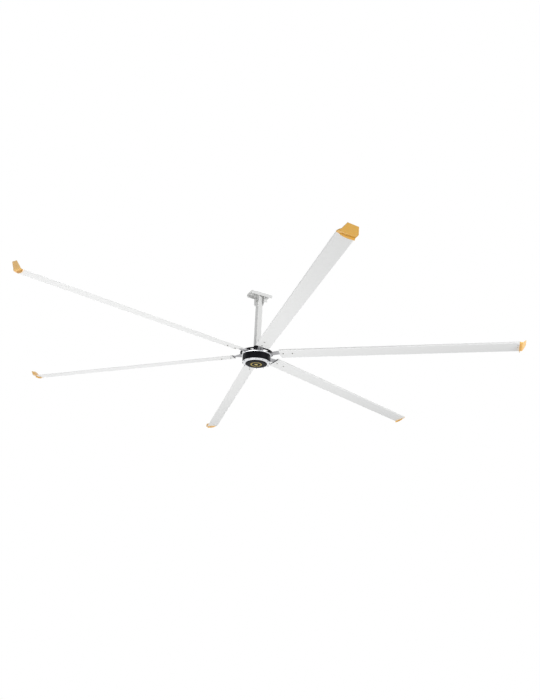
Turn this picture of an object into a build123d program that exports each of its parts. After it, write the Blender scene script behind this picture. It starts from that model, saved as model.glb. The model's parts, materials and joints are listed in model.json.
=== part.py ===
from build123d import *
import math
import os

# Six-blade industrial ceiling fan with a gearless outer-rotor motor.
# Millimetres, +Z up. The origin is the centre of the ceiling channel's top face,
# and the fan hangs below it on a square tube.

# Ceiling bracket
channel_length = 340
channel_width = 170
channel_depth = 50
channel_wall = 5
channel_corner = 12
ceiling_hole_spacing_x = 260
ceiling_hole_spacing_y = 110
ceiling_hole_diameter = 14
cheek_thickness = 8
cheek_depth = 181
cheek_taper = 38
cheek_foot_width = 92
cheek_corner = 10
gusset_reach = 66
gusset_depth = 108
gusset_thickness = 8

# Down tube and its bolts
tube_side = 80
tube_wall = 5
tube_corner = 8
tube_length = 830
tube_top_gap = 20
upper_bolt_diameter = 16
upper_bolt_offset = 20
upper_bolt_depths = (60, 122)
lower_bolt_diameter = 12
lower_bolt_heights = (34, 86)
tube_hole_clearance = 0.5
bolt_reach = 1.3

# Black hanger neck under the tube
neck_diameter = 106
neck_height = 71
spigot_height = 118
spigot_fit = 0.3
spigot_corner = 6
cable_bore = 40
flange_diameter = 150
neck_flange_thickness = 12
shaft_flange_thickness = 12
neck_screw_circle = 128
neck_screw_diameter = 10
neck_screw_count = 6
neck_corner = 2
bolt_clearance = 0.25

# Rotating hub above the motor
hub_gap = 6
hub_plate_diameter = 484
hub_plate_thickness = 12
hub_plate_bore = 176
window_inner_radius = 128
window_outer_radius = 214
window_margin = 14
arm_root_thickness = 22
arm_root_width = 80
arm_root_inner_radius = 118
arm_root_outer_radius = 238
arm_root_corner = 10
hub_bolt_diameter = 10
hub_bolt_pitch_across = 50
hub_bolt_pitch_along = 62
hub_bolt_first_radius = 137
hub_bolt_end_gap = 2

# Motor housing
motor_diameter = 408
casing_height = 102
casing_wall = 12
casing_groove_depth = 1.5
casing_groove_width = 5
bell_flange_diameter = 438
bell_flange_thickness = 15
bell_bead = 4
bell_rib_count = 12
bell_rib_thickness = 6
bell_rib_height = 12
boss_wall = 16
cone_height = 17
cone_foot_diameter = 318
lower_web_thickness = 10
casing_screw_diameter = 6
casing_screw_count = 12
casing_screw_length = 26

# Bottom cap
cap_rim_thickness = 3
cap_dome_height = 10
cap_flat_diameter = 196
cap_thickness = 3
cap_screw_diameter = 5
cap_screw_count = 6
cap_screw_circle = 302
cap_screw_length = 8
cap_screw_hole_depth = 12
cap_seat_width = 14
head_clearance = 0.3
inlay_depth = 1
inlay_proud = 0.5
inlay_ring_radius = 74
inlay_ring_width = 12
inlay_gap = 7
inlay_centre_radius = 24
inlay_count = 6

# Stator shaft, from top to bottom
shaft_diameter = 65
collar_diameter = 77
collar_height = 8
stator_seat_diameter = 62
lower_shaft_diameter = 55
thread_diameter = 50
thread_length = 16
nut_diameter = 68
nut_height = 9
lock_washer_thickness = 2
lead_hole_diameter = 12
slip_fit = 0.02

# Bearings
upper_bearing_outer = 120
upper_bearing_width = 23
lower_bearing_outer = 100
lower_bearing_width = 21
ball_count = 10
ball_share = 0.6
race_clearance = 0.3
pocket_clearance = 0.25
seal_lip_clearance = 0.3
seal_outer_diameter = 92
seal_height = 10

# Stator and magnets
air_gap = 1.2
magnet_thickness = 6
magnet_height = 49
magnet_count = 20
magnet_gap = 6
core_height = 45
core_drop = 26
core_bore = 220
core_yoke = 22
tooth_count = 24
tooth_width = 16
shoe_width = 38
shoe_thickness = 5
coil_thickness = 8
coil_length = 38
coil_fit = 0.3
coil_corner = 6
stator_hub_height = 38
stator_hub_hole = 40
key_width = 10
key_height = 8
key_length = 26

# Blades
blade_count = 6
first_blade_angle = 16.7
blade_tip_radius = 3600
blade_root_radius = 355
blade_pitch = 13.5
blade_droop = 2.1
blade_axis_rise = 3
chord = 200
nose_radius = 14
upper_nose_slope = 10.4
lower_nose_slope = 1.0
tail_thickness = 2.4
blade_wall = 2
web_positions = (-58, 22)
tongue_width = 74
tongue_thickness = 12
tongue_rise = 6
tongue_start = 318
tongue_depth = 250
blade_bolt_diameter = 10
blade_bolt_stations = (405, 545)
washer_clearance = 0.05

# Winglets
winglet_height = 76
winglet_reach = 15
winglet_bend_radius = 40
winglet_bends = (0, 18, 37, 55)
winglet_noses = (-97, -91, -82, -66)
winglet_tails = (102, 106, 110, 114)
winglet_nose_radii = (12, 10, 7.5, 4.5)
winglet_top_nose = -34
winglet_top_tail = 86
winglet_top_nose_radius = 2.5
winglet_lean = 35
lip_depth = 34
lip_thickness = 6
plug_depth = 40
plug_fit = 0.4
winglet_screw_diameter = 5
winglet_screw_setback = 20
winglet_screw_chords = (-42, 6)

# Levels, worked out downwards from the ceiling
tube_top = -channel_wall - tube_top_gap
neck_top = tube_top - tube_length
neck_flange_top = neck_top - neck_height
shaft_top = neck_flange_top - neck_flange_thickness
shaft_flange_bottom = shaft_top - shaft_flange_thickness
hub_plate_top = shaft_flange_bottom - hub_gap
hub_plate_bottom = hub_plate_top - hub_plate_thickness
bell_top = hub_plate_bottom - arm_root_thickness
casing_top = bell_top - bell_flange_thickness
casing_bottom = casing_top - casing_height
cone_bottom = casing_bottom - cone_height
cap_bottom = cone_bottom - cap_dome_height
blade_axis_level = bell_top + arm_root_thickness / 2 + blade_axis_rise
blade_angles = [first_blade_angle + 360 / blade_count * k for k in range(blade_count)]

# Shaft levels
upper_bearing_top = casing_top
upper_bearing_bottom = upper_bearing_top - upper_bearing_width
collar_bottom = upper_bearing_bottom - collar_height
core_top = casing_top - core_drop
core_bottom = core_top - core_height
stator_hub_top = collar_bottom
stator_hub_bottom = stator_hub_top - stator_hub_height
lower_bearing_bottom = casing_bottom + 2
lower_bearing_top = lower_bearing_bottom + lower_bearing_width
nut_top = lower_bearing_bottom - lock_washer_thickness

# Motor radii
casing_radius = motor_diameter / 2
casing_inner_radius = casing_radius - casing_wall
magnet_inner_radius = casing_inner_radius - magnet_thickness
stator_radius = magnet_inner_radius - air_gap
cone_foot_radius = cone_foot_diameter / 2

os.makedirs("parts", exist_ok=True)


def save(part, name):
    """Label one finished piece and write it under its node name."""
    part.label = name
    export_step(part, f"parts/{name}.step")


def hex_bolt(diameter, length, washer=True):
    """A hexagon bolt along -Z: the seat of its head, or of its washer, is at z = 0."""
    washer_height = 0.2 * diameter if washer else 0
    head_height = 0.64 * diameter
    with BuildPart() as bolt:
        if washer:
            Cylinder(diameter, washer_height, align=(Align.CENTER, Align.CENTER, Align.MIN))
        with BuildSketch(Plane.XY.offset(washer_height)):
            RegularPolygon(0.75 * diameter, 6, major_radius=False)
        extrude(amount=head_height)
        chamfer(bolt.faces().sort_by(Axis.Z)[-1].edges(), 0.08 * diameter)
        Cylinder(diameter / 2, length, align=(Align.CENTER, Align.CENTER, Align.MAX))
    return bolt.part


def hex_nut(diameter):
    """A washer and nut on +Z: the washer's seat is at z = 0, and the bore clears the bolt."""
    washer_height = 0.2 * diameter
    with BuildPart() as nut:
        Cylinder(diameter, washer_height, align=(Align.CENTER, Align.CENTER, Align.MIN))
        with BuildSketch(Plane.XY.offset(washer_height)):
            RegularPolygon(0.75 * diameter, 6, major_radius=False)
        extrude(amount=0.8 * diameter)
        chamfer(nut.faces().sort_by(Axis.Z)[-1].edges(), 0.08 * diameter)
        Hole(diameter / 2 + 2 * slip_fit)
    return nut.part


def socket_screw(diameter, length):
    """A socket-head screw along -Z with the seat of its head at z = 0."""
    with BuildPart() as screw:
        Cylinder(0.8 * diameter, diameter, align=(Align.CENTER, Align.CENTER, Align.MIN))
        chamfer(screw.faces().sort_by(Axis.Z)[-1].edges(), 0.08 * diameter)
        with BuildSketch(Plane.XY.offset(diameter)):
            RegularPolygon(0.42 * diameter, 6, major_radius=False)
        extrude(amount=-0.5 * diameter, mode=Mode.SUBTRACT)
        Cylinder(diameter / 2, length, align=(Align.CENTER, Align.CENTER, Align.MAX))
    return screw.part


def group(piece, locations):
    """Copies of one piece at the given locations, as one group of separate solids."""
    return Part(children=[piece.moved(location) for location in locations])


def circle_locations(level, radius, count, start=0.0, face_down=False):
    """Evenly spaced places on a circle at one level, facing up or down."""
    turn = Rotation(180, 0, 0) if face_down else Rotation(0, 0, 0)
    angles = [math.radians(start + 360 / count * k) for k in range(count)]
    return [
        Pos(radius * math.cos(a), radius * math.sin(a), level) * turn for a in angles
    ]


# Blade frame at angle 0: u runs out along the blade, c from its nose to its tail
# and n up through it. The blade turns clockwise seen from above, nose first, and
# its tail is the low edge.

droop_angle = math.radians(blade_droop)
pitch_angle = math.radians(blade_pitch)
along = Vector(math.cos(droop_angle), 0, -math.sin(droop_angle))
level_up = Vector(math.sin(droop_angle), 0, math.cos(droop_angle))
across = Vector(0, math.cos(pitch_angle), 0) - level_up * math.sin(pitch_angle)
through = Vector(0, math.sin(pitch_angle), 0) + level_up * math.cos(pitch_angle)
blade_origin = Vector(0, 0, blade_axis_level)


def blade_point(station, chordwise=0.0, rise=0.0):
    """A point by its distance out along the blade, along the chord and up through it."""
    return blade_origin + along * station + across * chordwise + through * rise


def section_plane(station):
    """A plane square to the blade: x along the chord, y up through the blade."""
    return Plane(origin=blade_point(station), x_dir=across, z_dir=along)


def bolt_plane(station, chordwise, rise, face_down=False):
    """A plane across the blade that faces up, or down, through it."""
    normal = -through if face_down else through
    return Plane(origin=blade_point(station, chordwise, rise), x_dir=along, z_dir=normal)


def foil_arcs(nose, tail, radius):
    """The corner points of a foil outline, from its nose round to its tail."""
    up_angle = math.radians(upper_nose_slope)
    low_angle = math.radians(lower_nose_slope)
    tail_half = min(tail_thickness, radius) / 2
    centre = nose + radius
    upper = (centre - radius * math.sin(up_angle), radius * math.cos(up_angle))
    lower = (centre + radius * math.sin(low_angle), -radius * math.cos(low_angle))
    return (nose, 0), upper, (tail, tail_half), (tail, -tail_half), lower


def foil(nose, tail, radius):
    """A cambered foil face: a round nose, two long arcs and a thin square tail."""
    front, upper, tail_top, tail_bottom, lower = foil_arcs(nose, tail, radius)
    up_angle = math.radians(upper_nose_slope)
    low_angle = math.radians(lower_nose_slope)
    with BuildLine() as outline:
        TangentArc(front, upper, tangent=(0, 1))
        TangentArc(upper, tail_top, tangent=(math.cos(up_angle), math.sin(up_angle)))
        Line(tail_top, tail_bottom)
        TangentArc(lower, tail_bottom, tangent=(math.cos(low_angle), math.sin(low_angle)))
        TangentArc(front, lower, tangent=(0, -1))
    make_face(outline.edges())


def arc_height(start, slope, end, x):
    """Height at x of the arc that leaves start at a slope and reaches end."""
    normal = Vector(-math.sin(slope), math.cos(slope))
    reach = Vector(*end) - Vector(*start)
    radius = reach.dot(reach) / (2 * reach.dot(normal))
    centre = Vector(*start) + normal * radius
    half_chord = math.sqrt(radius**2 - (x - centre.X) ** 2)
    return centre.Y - math.copysign(half_chord, radius)


def skin_heights(chordwise, spread):
    """The blade's lowest and highest skin within a distance of one chordwise place."""
    _, upper, tail_top, tail_bottom, lower = foil_arcs(-chord / 2, chord / 2, nose_radius)
    places = [chordwise - spread, chordwise, chordwise + spread]
    tops = [arc_height(upper, math.radians(upper_nose_slope), tail_top, x) for x in places]
    bottoms = [arc_height(lower, math.radians(lower_nose_slope), tail_bottom, x) for x in places]
    return min(bottoms), max(tops)


cell_centre = sum(web_positions) / 2

# Ceiling channel: an inverted U with four bolt holes
with BuildPart() as ceiling_channel:
    with BuildSketch(Plane.YZ):
        with Locations((0, -channel_depth / 2)):
            Rectangle(channel_width, channel_depth)
        with Locations((0, -channel_wall - channel_depth / 2)):
            Rectangle(channel_width - 2 * channel_wall, channel_depth, mode=Mode.SUBTRACT)
    extrude(amount=channel_length / 2, both=True)
    upright_edges = ceiling_channel.faces().filter_by(Axis.X).edges().filter_by(Axis.Y)
    fillet(upright_edges.group_by(Axis.Z)[0], channel_corner)
    long_edges = ceiling_channel.edges().filter_by(Axis.X)
    fillet(long_edges.group_by(Axis.Z)[-1], channel_wall * 0.9)
    with Locations((0, 0, 0)):
        with GridLocations(ceiling_hole_spacing_x, ceiling_hole_spacing_y, 2, 2):
            Hole(ceiling_hole_diameter / 2, channel_depth)
save(ceiling_channel.part, "ceiling_channel")

# Cheek plates welded between the channel's flanges, one each side of the tube
cheek_width = channel_width - 2 * channel_wall
cheek_top = -channel_wall
cheek_bottom = cheek_top - cheek_depth
upper_bolt_places = [
    (upper_bolt_offset, cheek_top - upper_bolt_depths[0]),
    (-upper_bolt_offset, cheek_top - upper_bolt_depths[1]),
]
with BuildPart() as cheek_plate:
    with BuildSketch(Plane.YZ.offset(tube_side / 2)) as cheek_outline:
        with BuildLine():
            Polyline(
                (-cheek_width / 2, cheek_top),
                (cheek_width / 2, cheek_top),
                (cheek_width / 2, cheek_bottom + cheek_taper),
                (cheek_foot_width / 2, cheek_bottom),
                (-cheek_foot_width / 2, cheek_bottom),
                (-cheek_width / 2, cheek_bottom + cheek_taper),
                close=True,
            )
        make_face()
        fillet(cheek_outline.vertices().sort_by(Axis.Y)[:4], cheek_corner)
        with Locations(*upper_bolt_places):
            Circle(upper_bolt_diameter / 2 + tube_hole_clearance, mode=Mode.SUBTRACT)
    extrude(amount=cheek_thickness)
save(
    Part(children=[cheek_plate.part, mirror(cheek_plate.part, about=Plane.YZ)]),
    "cheek_plates",
)

# Triangular gussets between the channel and the cheeks
with BuildPart() as gusset:
    cheek_face = tube_side / 2 + cheek_thickness
    with BuildSketch(Plane.XZ):
        with BuildLine():
            Polyline(
                (cheek_face, cheek_top),
                (cheek_face + gusset_reach, cheek_top),
                (cheek_face + gusset_reach, cheek_top - gusset_thickness),
                (cheek_face + gusset_thickness, cheek_top - gusset_depth),
                (cheek_face, cheek_top - gusset_depth),
                close=True,
            )
        make_face()
    extrude(amount=gusset_thickness / 2, both=True)
save(Part(children=[gusset.part, mirror(gusset.part, about=Plane.YZ)]), "gusset_plates")

# Square down tube with bolt holes at both ends
lower_bolt_levels = [neck_top + height for height in lower_bolt_heights]
with BuildPart() as down_tube:
    with BuildSketch(Plane.XY.offset(neck_top)):
        RectangleRounded(tube_side, tube_side, tube_corner)
        inner_side = tube_side - 2 * tube_wall
        RectangleRounded(inner_side, inner_side, tube_corner - tube_wall, mode=Mode.SUBTRACT)
    extrude(amount=tube_length)
    with BuildSketch(Plane.YZ):
        with Locations(*upper_bolt_places):
            Circle(upper_bolt_diameter / 2 + tube_hole_clearance)
    extrude(amount=tube_side, both=True, mode=Mode.SUBTRACT)
    with BuildSketch(Plane.XZ):
        with Locations(*[(0, level) for level in lower_bolt_levels]):
            Circle(lower_bolt_diameter / 2 + tube_hole_clearance)
    extrude(amount=tube_side, both=True, mode=Mode.SUBTRACT)
save(down_tube.part, "down_tube")

# Bolts with washers and nuts through the cheeks and through the tube's foot
upper_grip = tube_side + 2 * cheek_thickness
upper_bolt = hex_bolt(upper_bolt_diameter, upper_grip + bolt_reach * upper_bolt_diameter)
upper_nut = hex_nut(upper_bolt_diameter)
head_side = [Pos(-upper_grip / 2, y, z) * Rotation(0, -90, 0) for y, z in upper_bolt_places]
nut_side = [Pos(upper_grip / 2, y, z) * Rotation(0, 90, 0) for y, z in upper_bolt_places]
save(group(upper_bolt, head_side), "upper_tube_bolts")
save(group(upper_nut, nut_side), "upper_tube_nuts")

lower_bolt = hex_bolt(lower_bolt_diameter, tube_side + bolt_reach * lower_bolt_diameter)
lower_nut = hex_nut(lower_bolt_diameter)
head_side = [Pos(0, -tube_side / 2, z) * Rotation(90, 0, 0) for z in lower_bolt_levels]
nut_side = [Pos(0, tube_side / 2, z) * Rotation(-90, 0, 0) for z in lower_bolt_levels]
save(group(lower_bolt, head_side), "lower_tube_bolts")
save(group(lower_nut, nut_side), "lower_tube_nuts")

# Hanger neck: a flange, a round neck and a square spigot inside the tube
spigot_side = tube_side - 2 * tube_wall - 2 * spigot_fit
with BuildPart() as hanger_neck:
    with BuildSketch(Plane.XY.offset(shaft_top)):
        Circle(flange_diameter / 2)
    extrude(amount=neck_flange_thickness)
    with BuildSketch(Plane.XY.offset(neck_flange_top)):
        Circle(neck_diameter / 2)
    extrude(amount=neck_height)
    inner_corner = hanger_neck.edges().filter_by(GeomType.CIRCLE).group_by(Axis.Z)[1]
    fillet(inner_corner.sort_by(SortBy.RADIUS)[0], neck_corner)
    with BuildSketch(Plane.XY.offset(neck_top)):
        RectangleRounded(spigot_side, spigot_side, spigot_corner)
    extrude(amount=spigot_height)
    with BuildSketch(Plane.XY.offset(shaft_top)):
        Circle(cable_bore / 2)
    extrude(amount=neck_top + spigot_height - shaft_top, mode=Mode.SUBTRACT)
    with BuildSketch(Plane.XZ):
        with Locations(*[(0, level) for level in lower_bolt_levels]):
            Circle(lower_bolt_diameter / 2 + tube_hole_clearance)
    extrude(amount=tube_side, both=True, mode=Mode.SUBTRACT)
    with BuildSketch(Plane.XY.offset(shaft_top)):
        with PolarLocations(neck_screw_circle / 2, neck_screw_count):
            Circle(neck_screw_diameter / 2 + bolt_clearance)
    extrude(amount=neck_flange_thickness, mode=Mode.SUBTRACT)
save(hanger_neck.part, "hanger_neck")

neck_screw_length = neck_flange_thickness + shaft_flange_thickness
neck_screw = socket_screw(neck_screw_diameter, neck_screw_length)
neck_screw_places = circle_locations(neck_flange_top, neck_screw_circle / 2, neck_screw_count)
save(group(neck_screw, neck_screw_places), "neck_screws")

# Stator shaft: a top flange and a stepped hollow shaft that never turns
with BuildPart() as stator_shaft:
    with BuildSketch(Plane.XZ):
        with BuildLine():
            Polyline(
                (cable_bore / 2, shaft_top),
                (flange_diameter / 2, shaft_top),
                (flange_diameter / 2, shaft_flange_bottom),
                (shaft_diameter / 2, shaft_flange_bottom),
                (shaft_diameter / 2, upper_bearing_bottom),
                (collar_diameter / 2, upper_bearing_bottom),
                (collar_diameter / 2, collar_bottom),
                (stator_seat_diameter / 2, collar_bottom),
                (stator_seat_diameter / 2, stator_hub_bottom),
                (lower_shaft_diameter / 2, stator_hub_bottom),
                (lower_shaft_diameter / 2, lower_bearing_bottom),
                (thread_diameter / 2, lower_bearing_bottom),
                (thread_diameter / 2, lower_bearing_bottom - thread_length),
                (cable_bore / 2 - 6, lower_bearing_bottom - thread_length),
                (cable_bore / 2 - 6, stator_hub_bottom),
                (cable_bore / 2, stator_hub_bottom + 6),
                close=True,
            )
        make_face()
    revolve(axis=Axis.Z)
    with BuildSketch(Plane.XY.offset(shaft_top)):
        with PolarLocations(neck_screw_circle / 2, neck_screw_count):
            Circle(neck_screw_diameter / 2 + slip_fit)
    extrude(amount=-shaft_flange_thickness, mode=Mode.SUBTRACT)
    lead_level = stator_hub_top - stator_hub_height / 2
    with BuildSketch(Plane.YZ):
        with Locations((0, lead_level)):
            Circle(lead_hole_diameter / 2)
    extrude(amount=collar_diameter, mode=Mode.SUBTRACT)
    key_plane = Plane.XY.offset(stator_hub_top - key_length)
    with BuildSketch(key_plane):
        with Locations((-stator_seat_diameter / 2, 0)):
            Rectangle(key_height + 2 * slip_fit, key_width + 2 * slip_fit)
    extrude(amount=key_length, mode=Mode.SUBTRACT)
save(stator_shaft.part, "stator_shaft")

with BuildPart() as stator_key:
    with BuildSketch(key_plane):
        with Locations((-stator_seat_diameter / 2, 0)):
            RectangleRounded(key_height, key_width, 1)
    extrude(amount=key_length)
save(stator_key.part, "stator_key")

# Stator hub: a wheel between the shaft and the laminated core
with BuildPart() as stator_hub:
    with BuildSketch(Plane.XY.offset(stator_hub_bottom)):
        Circle(core_bore / 2 - slip_fit)
        Circle(stator_seat_diameter / 2 + slip_fit, mode=Mode.SUBTRACT)
        hole_circle = (core_bore + stator_seat_diameter) / 4
        with PolarLocations(hole_circle, 6, start_angle=0):
            Circle(stator_hub_hole / 2, mode=Mode.SUBTRACT)
        with Locations((-stator_seat_diameter / 2, 0)):
            Rectangle(key_height + 2 * slip_fit, key_width + 2 * slip_fit, mode=Mode.SUBTRACT)
    extrude(amount=stator_hub_height)
    with BuildSketch(Plane.YZ):
        with Locations((0, lead_level)):
            Circle(lead_hole_diameter / 2)
    extrude(amount=hole_circle, mode=Mode.SUBTRACT)
save(stator_hub.part, "stator_hub")

# Laminated core with teeth and pole shoes
core_back = core_bore / 2 + core_yoke
with BuildPart() as stator_core:
    with BuildSketch(Plane.XY.offset(core_bottom)):
        Circle(stator_radius)
        Circle(stator_radius - shoe_thickness, mode=Mode.SUBTRACT)
        slot_opening = 2 * math.pi * stator_radius / tooth_count - shoe_width
        with PolarLocations(stator_radius, tooth_count, start_angle=180 / tooth_count):
            Rectangle(4 * shoe_thickness, slot_opening, mode=Mode.SUBTRACT)
        tooth_reach = stator_radius - shoe_thickness / 2 - core_back
        with PolarLocations(core_back + tooth_reach / 2 - 1, tooth_count):
            Rectangle(tooth_reach + 2, tooth_width)
        Circle(core_back)
        Circle(core_bore / 2 + slip_fit, mode=Mode.SUBTRACT)
    extrude(amount=core_height)
save(stator_core.part, "stator_core")

# One closed coil round each tooth
coil_inner_width = tooth_width + 2 * coil_fit
coil_inner_height = core_height + 2 * coil_fit
with BuildPart() as coil:
    with BuildSketch(Plane.YZ.offset(core_back + 4)):
        with Locations((0, (core_top + core_bottom) / 2)):
            RectangleRounded(
                coil_inner_width + 2 * coil_thickness,
                coil_inner_height + 2 * coil_thickness,
                coil_corner,
            )
            Rectangle(coil_inner_width, coil_inner_height, mode=Mode.SUBTRACT)
    extrude(amount=coil_length)
tooth_turns = [Rotation(0, 0, 360 / tooth_count * k) for k in range(tooth_count)]
save(group(coil.part, tooth_turns), "stator_windings")

# Rotor casing: the black band, with two shallow grooves, and its magnets
with BuildPart() as rotor_casing:
    with BuildSketch(Plane.XY.offset(casing_bottom)):
        Circle(casing_radius)
        Circle(casing_inner_radius, mode=Mode.SUBTRACT)
    extrude(amount=casing_height)
    groove_inset = 3 * casing_groove_width
    for groove_level in (casing_top - groove_inset, casing_bottom + groove_inset):
        with BuildSketch(Plane.XY.offset(groove_level - casing_groove_width / 2)):
            Circle(casing_radius + 1)
            Circle(casing_radius - casing_groove_depth, mode=Mode.SUBTRACT)
        extrude(amount=casing_groove_width, mode=Mode.SUBTRACT)
    casing_screw_radius = (casing_radius + casing_inner_radius) / 2
    screw_start = first_blade_angle + 180 / casing_screw_count
    upper_screw_places = circle_locations(
        bell_top, casing_screw_radius, casing_screw_count, screw_start
    )
    thread_depth = casing_screw_length - bell_flange_thickness + casing_screw_diameter
    for plane_level, direction in ((casing_top, -1), (casing_bottom, 1)):
        with BuildSketch(Plane.XY.offset(plane_level)):
            with PolarLocations(casing_screw_radius, casing_screw_count, start_angle=screw_start):
                Circle(casing_screw_diameter / 2 + slip_fit)
        extrude(amount=direction * thread_depth, mode=Mode.SUBTRACT)
save(rotor_casing.part, "rotor_casing")

magnet_span = 360 / magnet_count - math.degrees(magnet_gap / casing_inner_radius)
with BuildPart() as magnet:
    with BuildSketch(Plane.XZ):
        magnet_radius = (magnet_inner_radius + casing_inner_radius) / 2
        with Locations((magnet_radius, (core_top + core_bottom) / 2)):
            Rectangle(magnet_thickness - 2 * slip_fit, magnet_height)
    revolve(axis=Axis.Z, revolution_arc=magnet_span)
magnet_turns = [Rotation(0, 0, 360 / magnet_count * k) for k in range(magnet_count)]
save(group(magnet.part, magnet_turns), "rotor_magnets")


def hub_bolt_places(level):
    """The hub bolts' places: a grid of four on each arm's root."""
    places = []
    for angle in blade_angles:
        for step in (0, 1):
            for side in (-0.5, 0.5):
                radius = hub_bolt_first_radius + step * hub_bolt_pitch_along
                spot = Pos(radius, side * hub_bolt_pitch_across, level)
                places.append(Rotation(0, 0, angle) * spot)
    return places


# Upper end bell: the bright flange, its ribs and the upper bearing's boss
upper_seat = upper_bearing_outer / 2 + slip_fit
with BuildPart() as upper_end_bell:
    with BuildSketch(Plane.XZ):
        with BuildLine():
            Polyline(
                (seal_outer_diameter / 2, bell_top),
                (bell_flange_diameter / 2 - bell_bead, bell_top),
                (bell_flange_diameter / 2, bell_top - bell_bead),
                (bell_flange_diameter / 2, casing_top + bell_bead),
                (bell_flange_diameter / 2 - bell_bead, casing_top),
                (upper_seat + boss_wall, casing_top),
                (upper_seat + boss_wall, upper_bearing_bottom - 2),
                (upper_seat, upper_bearing_bottom - 2),
                (upper_seat, upper_bearing_top),
                (seal_outer_diameter / 2, upper_bearing_top),
                close=True,
            )
        make_face()
    revolve(axis=Axis.Z)
    rib_start = upper_seat + boss_wall - 2
    rib_length = casing_inner_radius - 1 - rib_start
    with BuildSketch(Plane.XY.offset(casing_top)):
        with PolarLocations(rib_start + rib_length / 2, bell_rib_count):
            Rectangle(rib_length, bell_rib_thickness)
    extrude(amount=-bell_rib_height)
    with Locations(*hub_bolt_places(bell_top)):
        Cylinder(
            hub_bolt_diameter / 2 + slip_fit,
            bell_flange_thickness,
            align=(Align.CENTER, Align.CENTER, Align.MAX),
            mode=Mode.SUBTRACT,
        )
    with Locations(*upper_screw_places):
        CounterBoreHole(
            casing_screw_diameter / 2 + slip_fit,
            0.8 * casing_screw_diameter + head_clearance,
            casing_screw_diameter + 0.5,
            bell_flange_thickness,
        )
save(upper_end_bell.part, "upper_end_bell")

# Lower end bell: the bright cone under the band and the lower bearing's boss
lower_seat = lower_bearing_outer / 2 + slip_fit
web_top = cone_bottom + 5 + lower_web_thickness
lower_screw_places = circle_locations(
    casing_bottom - casing_screw_diameter - 3,
    casing_screw_radius,
    casing_screw_count,
    screw_start,
    face_down=True,
)
with BuildPart() as lower_end_bell:
    with BuildSketch(Plane.XZ):
        with BuildLine():
            Polyline(
                (casing_radius, casing_bottom),
                (casing_radius, casing_bottom - 3),
                (cone_foot_radius, cone_bottom),
                (cone_foot_radius - cap_seat_width, cone_bottom),
                (cone_foot_radius - cap_seat_width, cone_bottom + 5),
                (nut_diameter / 2 + 4, cone_bottom + 5),
                (nut_diameter / 2 + 4, lower_bearing_bottom),
                (lower_seat, lower_bearing_bottom),
                (lower_seat, lower_bearing_top + 2),
                (lower_seat + boss_wall, lower_bearing_top + 2),
                (lower_seat + boss_wall, web_top),
                (cone_foot_radius, web_top),
                (casing_inner_radius, casing_bottom),
                close=True,
            )
        make_face()
    revolve(axis=Axis.Z)
    with Locations(*lower_screw_places):
        Cylinder(
            casing_screw_diameter / 2 + slip_fit,
            2 * cone_height,
            mode=Mode.SUBTRACT,
        )
        Cylinder(
            0.8 * casing_screw_diameter + head_clearance,
            cone_height,
            align=(Align.CENTER, Align.CENTER, Align.MIN),
            mode=Mode.SUBTRACT,
        )
    with Locations(*circle_locations(cone_bottom, cap_screw_circle / 2, cap_screw_count)):
        Cylinder(cap_screw_diameter / 2 + slip_fit, cap_screw_hole_depth, mode=Mode.SUBTRACT)
save(lower_end_bell.part, "lower_end_bell")

upper_screw_seat = bell_top - casing_screw_diameter - 0.5
casing_screw = socket_screw(casing_screw_diameter, casing_screw_length - casing_screw_diameter)
upper_screw_heads = [Pos(0, 0, upper_screw_seat - bell_top) * spot for spot in upper_screw_places]
save(group(casing_screw, upper_screw_heads + lower_screw_places), "casing_screws")


def bearing(bore, outer, width, bottom, prefix):
    """A deep-groove ball bearing: inner ring, outer ring, and balls in a cage."""
    ball_radius = ball_share * (outer - bore) / 4
    pitch_radius = (outer + bore) / 4
    middle = bottom + width / 2
    groove = ball_radius + race_clearance
    land = 0.5 * ball_radius

    with BuildPart() as inner_ring:
        with BuildSketch(Plane.XZ):
            with Locations(((bore / 2 + pitch_radius - land) / 2, middle)):
                RectangleRounded(pitch_radius - land - bore / 2 - slip_fit, width, 1)
            with Locations((pitch_radius, middle)):
                Circle(groove, mode=Mode.SUBTRACT)
        revolve(axis=Axis.Z)
    save(inner_ring.part, f"{prefix}_bearing_inner_ring")

    with BuildPart() as outer_ring:
        with BuildSketch(Plane.XZ):
            with Locations(((outer / 2 + pitch_radius + land) / 2, middle)):
                RectangleRounded(outer / 2 - pitch_radius - land - slip_fit, width, 1)
            with Locations((pitch_radius, middle)):
                Circle(groove, mode=Mode.SUBTRACT)
        revolve(axis=Axis.Z)
    save(outer_ring.part, f"{prefix}_bearing_outer_ring")

    spots = circle_locations(middle, pitch_radius, ball_count)
    ball_turns = [360 / ball_count * k for k in range(ball_count)]
    radial_turns = [Rotation(0, 0, turn) * Rotation(0, 90, 0) for turn in ball_turns]
    with BuildPart() as cage:
        with BuildSketch(Plane.XY.offset(middle - ball_radius - 1.5)):
            Circle(pitch_radius + 0.5 * land)
            Circle(pitch_radius - 0.5 * land, mode=Mode.SUBTRACT)
        extrude(amount=2 * ball_radius + 3)
        with Locations(*[spot * facing for spot, facing in zip(spots, radial_turns)]):
            Cylinder(ball_radius + pocket_clearance, 2 * land, mode=Mode.SUBTRACT)
    with BuildPart() as ball:
        Sphere(ball_radius)
    balls = [ball.part.moved(spot) for spot in spots]
    save(Part(children=[cage.part] + balls), f"{prefix}_bearing_cage")


bearing(shaft_diameter, upper_bearing_outer, upper_bearing_width, upper_bearing_bottom, "upper")
bearing(lower_shaft_diameter, lower_bearing_outer, lower_bearing_width, lower_bearing_bottom, "lower")

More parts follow.
